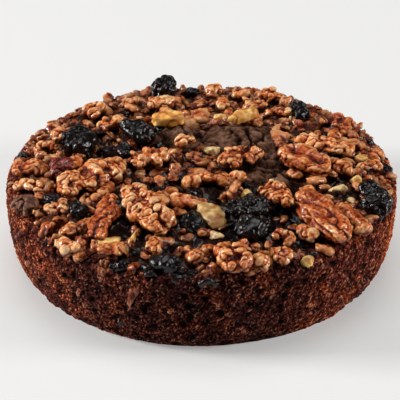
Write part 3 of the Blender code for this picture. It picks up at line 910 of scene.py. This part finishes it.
def finished_form(piece, seed, wrinkles, rounds, depth, broken=None):
    """Points, faces, fold and flesh values of a shaped piece, turned to its own axes and scaled to length 1."""
    mesh = piece.data
    wrinkle(mesh, seed, wrinkles)
    fold = standing_out(mesh, rounds, depth)
    co = points_of(mesh)
    flesh = np.zeros(len(co), bool)
    middle, axes, reach = own_frame(co)
    if broken is not None:
        co, flesh = break_off(co, middle, reach, np.array(broken), 0.5)
    faces = [tuple(face.vertices) for face in mesh.polygons]
    bpy.data.objects.remove(piece)
    bpy.data.meshes.remove(mesh)
    return ((co - middle) @ axes.T) / (2 * reach), faces, fold, flesh.astype(float)


def clipped(co, count, nearest, furthest, dice):
    """Points drawn in behind random planes, so that a ball turns into a shard with flat faces."""
    for _ in range(count):
        way = np.array([dice.gauss(0, 1), dice.gauss(0, 1), dice.gauss(0, 0.8)])
        way /= np.linalg.norm(way)
        past = np.maximum(co @ way - dice.uniform(nearest, furthest), 0.0)
        co = co - past[:, None] * way
    return co


def broken_kernel_form(seed, size):
    """A shard of kernel: its skin side in narrow winding ridges, the rest snapped faces."""
    dice = random.Random(seed * 13 + 5)
    core = ball(4)[0] * np.array([3.6, dice.uniform(2.0, 2.7), dice.uniform(1.5, 2.1)])
    core = clipped(core, 4 + seed % 3, 1.0, 2.2, dice)
    skin, way, polygons, nearest = skin_of(core, ball(4)[1], 0.5)
    parts = [(skin - way * 0.5, polygons)]
    for index in spread_points(skin, 2.7 if seed % 4 else 5.0, dice):
        heading = np.array([dice.uniform(-0.6, 0.6), dice.choice((-1.0, 1.0)), dice.uniform(-0.4, 0.4)])
        parts += winding_lobe(skin, way, nearest, index, heading, dice.uniform(0.6, 1.1), dice.uniform(2.0, 5.0), dice, 0.4)
    piece = fused("bit", parts, size, 1)
    crease(piece.data, seed, 0.7, 2.4, 0.3)
    crease(piece.data, seed + 60, 0.4, 1.5, 0.3)
    broken = (dice.uniform(-1, 1), dice.uniform(-1, 1), dice.uniform(0, 0.7)) if seed % 3 == 1 else None
    return finished_form(piece, seed, [(4.0, 1.4), (1.3, 0.4), (0.8, 0.15)], 9, 0.6, broken)


def chip_form(seed, size):
    dice = random.Random(seed * 17 + 1)
    co, faces = ball(4)[0] * np.array([3.6, 2.6, 2.0]), ball(4)[1]
    co = clipped(co, 8, 1.0, 1.9, dice)
    return finished_form(fused("bit", [(co, faces)], size, 0), seed, [(2.6, 0.3), (1.0, 0.25)], 8, 0.3)


def fruit_form(seed, size):
    dice = random.Random(seed * 19 + 2)
    co, faces = BALL[0] * np.array([3.6, dice.uniform(2.0, 2.8), dice.uniform(1.4, 2.2)]), BALL[1]
    piece = fused("bit", [(co, faces)], size, 1)
    mesh = piece.data
    co, way = points_of(mesh), normals_of(mesh)
    push = [1.6 * (fold_height(Vector(place) * 0.28 + Vector((seed, 3, seed)), 0.3) - 0.8) for place in co]
    set_points(mesh, co + way * np.array(push)[:, None])
    return finished_form(piece, seed, [(3.5, 1.0), (1.4, 0.5)], 8, 0.3)


def strew(dice):
    """Random small pieces in the gaps, as rows like those above."""
    covers = []
    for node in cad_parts:
        if node != "cake":
            covers.append(own_frame(solid_of(node)[0]))
    taken = [(row[1], row[2], row[4]) for row in BITS]
    rows = []
    for _ in range(9000):
        if len(rows) == STREWN:
            break
        radius, turn = 76.5 * math.sqrt(dice.random()), dice.uniform(0, 2 * math.pi)
        x, y = radius * math.cos(turn), radius * math.sin(turn)
        length = SMALLEST + (LARGEST - SMALLEST) * dice.random() ** 1.4 * (1.0 if radius < 70 else 0.7)
        if bareness(x, y) > 0.42 or (abs(x) < 42 and -62 < y < -14 and dice.random() < 0.85):
            continue
        depth = min(np.linalg.norm((axes[:2, :2] @ (np.array([x, y]) - middle[:2])) / (reach[:2] + 0.08 * length)) for middle, axes, reach in covers)
        if depth < 0.86:
            continue
        if any(math.hypot(x - at_x, y - at_y) < 0.31 * (length + other) for at_x, at_y, other in taken):
            continue
        taken.append((x, y, length))
        kind = "nut" if dice.random() < (0.92 if x < -45 or y > 35 else 0.78) else "fruit"
        rows.append((kind, x, y, dice.uniform(0, 360), length, length * dice.uniform(0.55, 0.9), length * dice.uniform(0.4, 0.6)))
    return rows


def on_top(co, row, dice):
    """A small piece turned, sized and sunk a little into the crust."""
    x, y, heading, length, width, height = row[1:]
    turn, tilt = math.radians(heading), dice.uniform(-0.35, 0.35)
    co = co * (length, width, height)
    co = co @ np.array([[math.cos(tilt), 0, math.sin(tilt)], [0, 1, 0], [-math.sin(tilt), 0, math.cos(tilt)]])
    co = co @ np.array([[math.cos(turn), math.sin(turn), 0], [-math.sin(turn), math.cos(turn), 0], [0, 0, 1]])
    return co + (x, y, crust_height(x, y) + height * (0.14 if math.hypot(x, y) < 68 else 0.02))


def in_wall(co, row, dice):
    """A small piece baked into the wall with its outer face showing."""
    turn, height, lean, length, width, depth = row[1:]
    turn, lean = math.radians(turn), math.radians(lean)
    out = np.array([math.cos(turn), math.sin(turn), 0.0])
    along = np.array([-out[1] * math.sin(lean), out[0] * math.sin(lean), math.cos(lean)])
    sunk = wall_radius(height) - 0.22 * depth - max(height - WALL_HEIGHT, 0.0)
    return (co * (length, width, depth)) @ np.stack([along, np.cross(out, along), out]) + out * sunk + (0, 0, height)


def lay(name, kinds, lists, dice, material):
    """All the small pieces of some kinds as one mesh. Each list comes with how its rows are placed and their forms."""
    points, faces, fold, tone, pale, flesh, baked_in, start = [], [], [], [], [], [], [], 0
    for place, listed, forms in lists:
        for row in listed:
            if row[0] not in kinds:
                continue
            co, polygons, folds, broken = dice.choice(forms)
            points.append(place(co, row, dice))
            faces.extend(tuple(start + corner for corner in polygon) for polygon in polygons)
            start += len(co)
            fold.append(folds)
            flesh.append(broken)
            tone.append(np.full(len(co), {"gold": 0.1, "chip": 0.9}.get(row[0], 0.6 * dice.random())))
            pale.append(np.full(len(co), dice.uniform(-0.4, 0.1)))
            baked_in.append(np.full(len(co), place is in_wall))
    mesh = bpy.data.meshes.new(name)
    mesh.from_pydata((np.concatenate(points) * MM).tolist(), [], faces)
    mesh.shade_smooth()
    set_tone(mesh, "fold", np.concatenate(fold))
    set_tone(mesh, "tone", np.concatenate(tone))
    set_tone(mesh, "pale", np.concatenate(pale))
    set_tone(mesh, "flesh", np.concatenate(flesh))
    set_tone(mesh, "clean_and_lit", np.where(np.concatenate(baked_in), 0.35, clean_and_lit_share(mesh, 0.0, 3.8)))
    mesh.materials.append(material)
    piece = bpy.data.objects.new(name, mesh)
    bpy.context.scene.collection.objects.link(piece)
    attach(piece, "root")


dice = random.Random(11)
strewn = strew(dice)
nut_forms = [broken_kernel_form(seed, 0.5) for seed in (0, 1, 44, *range(3, 15), 40)]
fine_nut_forms = [broken_kernel_form(seed, 0.34) for seed in range(16, 28)]
chip_forms = [chip_form(seed, 0.5) for seed in range(6)]
fruit_forms = [fruit_form(seed, 0.6) for seed in range(6)]
walnut_bits = [(on_top, BITS, fine_nut_forms), (in_wall, WALL_BITS, fine_nut_forms), (on_top, strewn, nut_forms)]
lay("small_walnut_bits", ("nut",), walnut_bits, dice, walnut_skin)
lay("small_pale_chips", ("gold", "chip"), [(on_top, BITS, chip_forms)], dice, pale_nut)
fruit_bits = [(on_top, BITS, fruit_forms), (in_wall, WALL_BITS, fruit_forms), (on_top, strewn, fruit_forms)]
lay("small_dark_fruit", ("fruit",), fruit_bits, dice, dark_fruit)


# ---------------------------------------------------------------------------------------------------------
# The floor, the light and the camera. A low soft light stands on the left and a weaker one on the right,
# a broad one hangs over the cake, and the pale floor gives back the rest.



def make_floor():
    mesh = bpy.data.meshes.new("floor")
    mesh.from_pydata([(-4, -4, 0), (4, -4, 0), (4, 4, 0), (-4, 4, 0)], [], [(0, 1, 2, 3)])
    floor = bpy.data.objects.new("floor", mesh)
    bpy.context.scene.collection.objects.link(floor)
    made, tree, shader = new_material("pale floor")
    shader.inputs["Base Color"].default_value = (0.52, 0.518, 0.508, 1.0)
    shader.inputs["Roughness"].default_value = 0.6
    shader.inputs["Emission Color"].default_value = (1.0, 0.997, 0.98, 1.0)
    shader.inputs["Emission Strength"].default_value = 0.30
    mesh.materials.append(made)


def add_softbox(name, place, aim, size, watts):
    light = bpy.data.lights.new(name, "AREA")
    light.shape = "RECTANGLE"
    light.size, light.size_y = size
    light.energy = watts
    lamp = bpy.data.objects.new(name, light)
    lamp.location = place
    lamp.rotation_euler = (Vector(aim) - Vector(place)).to_track_quat("-Z", "Y").to_euler()
    bpy.context.scene.collection.objects.link(lamp)


def light_world(strength):
    world = bpy.data.worlds.new("studio")
    bpy.context.scene.world = world
    world.use_nodes = True
    world.node_tree.nodes["Background"].inputs["Color"].default_value = (1.0, 0.99, 0.97, 1.0)
    world.node_tree.nodes["Background"].inputs["Strength"].default_value = strength


DISTANCE = 0.72
ELEVATION = math.radians(31.1)
FOCAL = 156.65
AIM_HEIGHT = 0.01456
AIM_UP = 0.00879
AIM_LEFT = 0.00069


def add_camera():
    data = bpy.data.cameras.new("camera")
    data.sensor_width = 36
    data.lens = FOCAL
    camera = bpy.data.objects.new("camera", data)
    forward = Vector((0, math.cos(ELEVATION), -math.sin(ELEVATION)))
    up = Vector((0, math.sin(ELEVATION), math.cos(ELEVATION)))
    look = forward + up * AIM_UP - Vector((1, 0, 0)) * AIM_LEFT
    camera.location = Vector((0, 0, AIM_HEIGHT)) - forward * DISTANCE
    camera.rotation_euler = look.to_track_quat("-Z", "Y").to_euler()
    bpy.context.scene.collection.objects.link(camera)
    bpy.context.scene.camera = camera


make_floor()
add_softbox("key, low on the left", (-2.4, 0.1, 0.95), (0, 0, 0.02), (0.7, 0.7), 80.0)
add_softbox("fill, low on the right", (2.4, -0.2, 0.85), (0, 0, 0.02), (0.7, 0.7), 42.0)
add_softbox("overhead", (0.0, 0.4, 2.6), (0, 0, 0), (1.6, 1.6), 30.0)
light_world(0.08)
add_camera()
bpy.context.scene.view_settings.view_transform = "Standard"

bpy.context.view_layer.update()
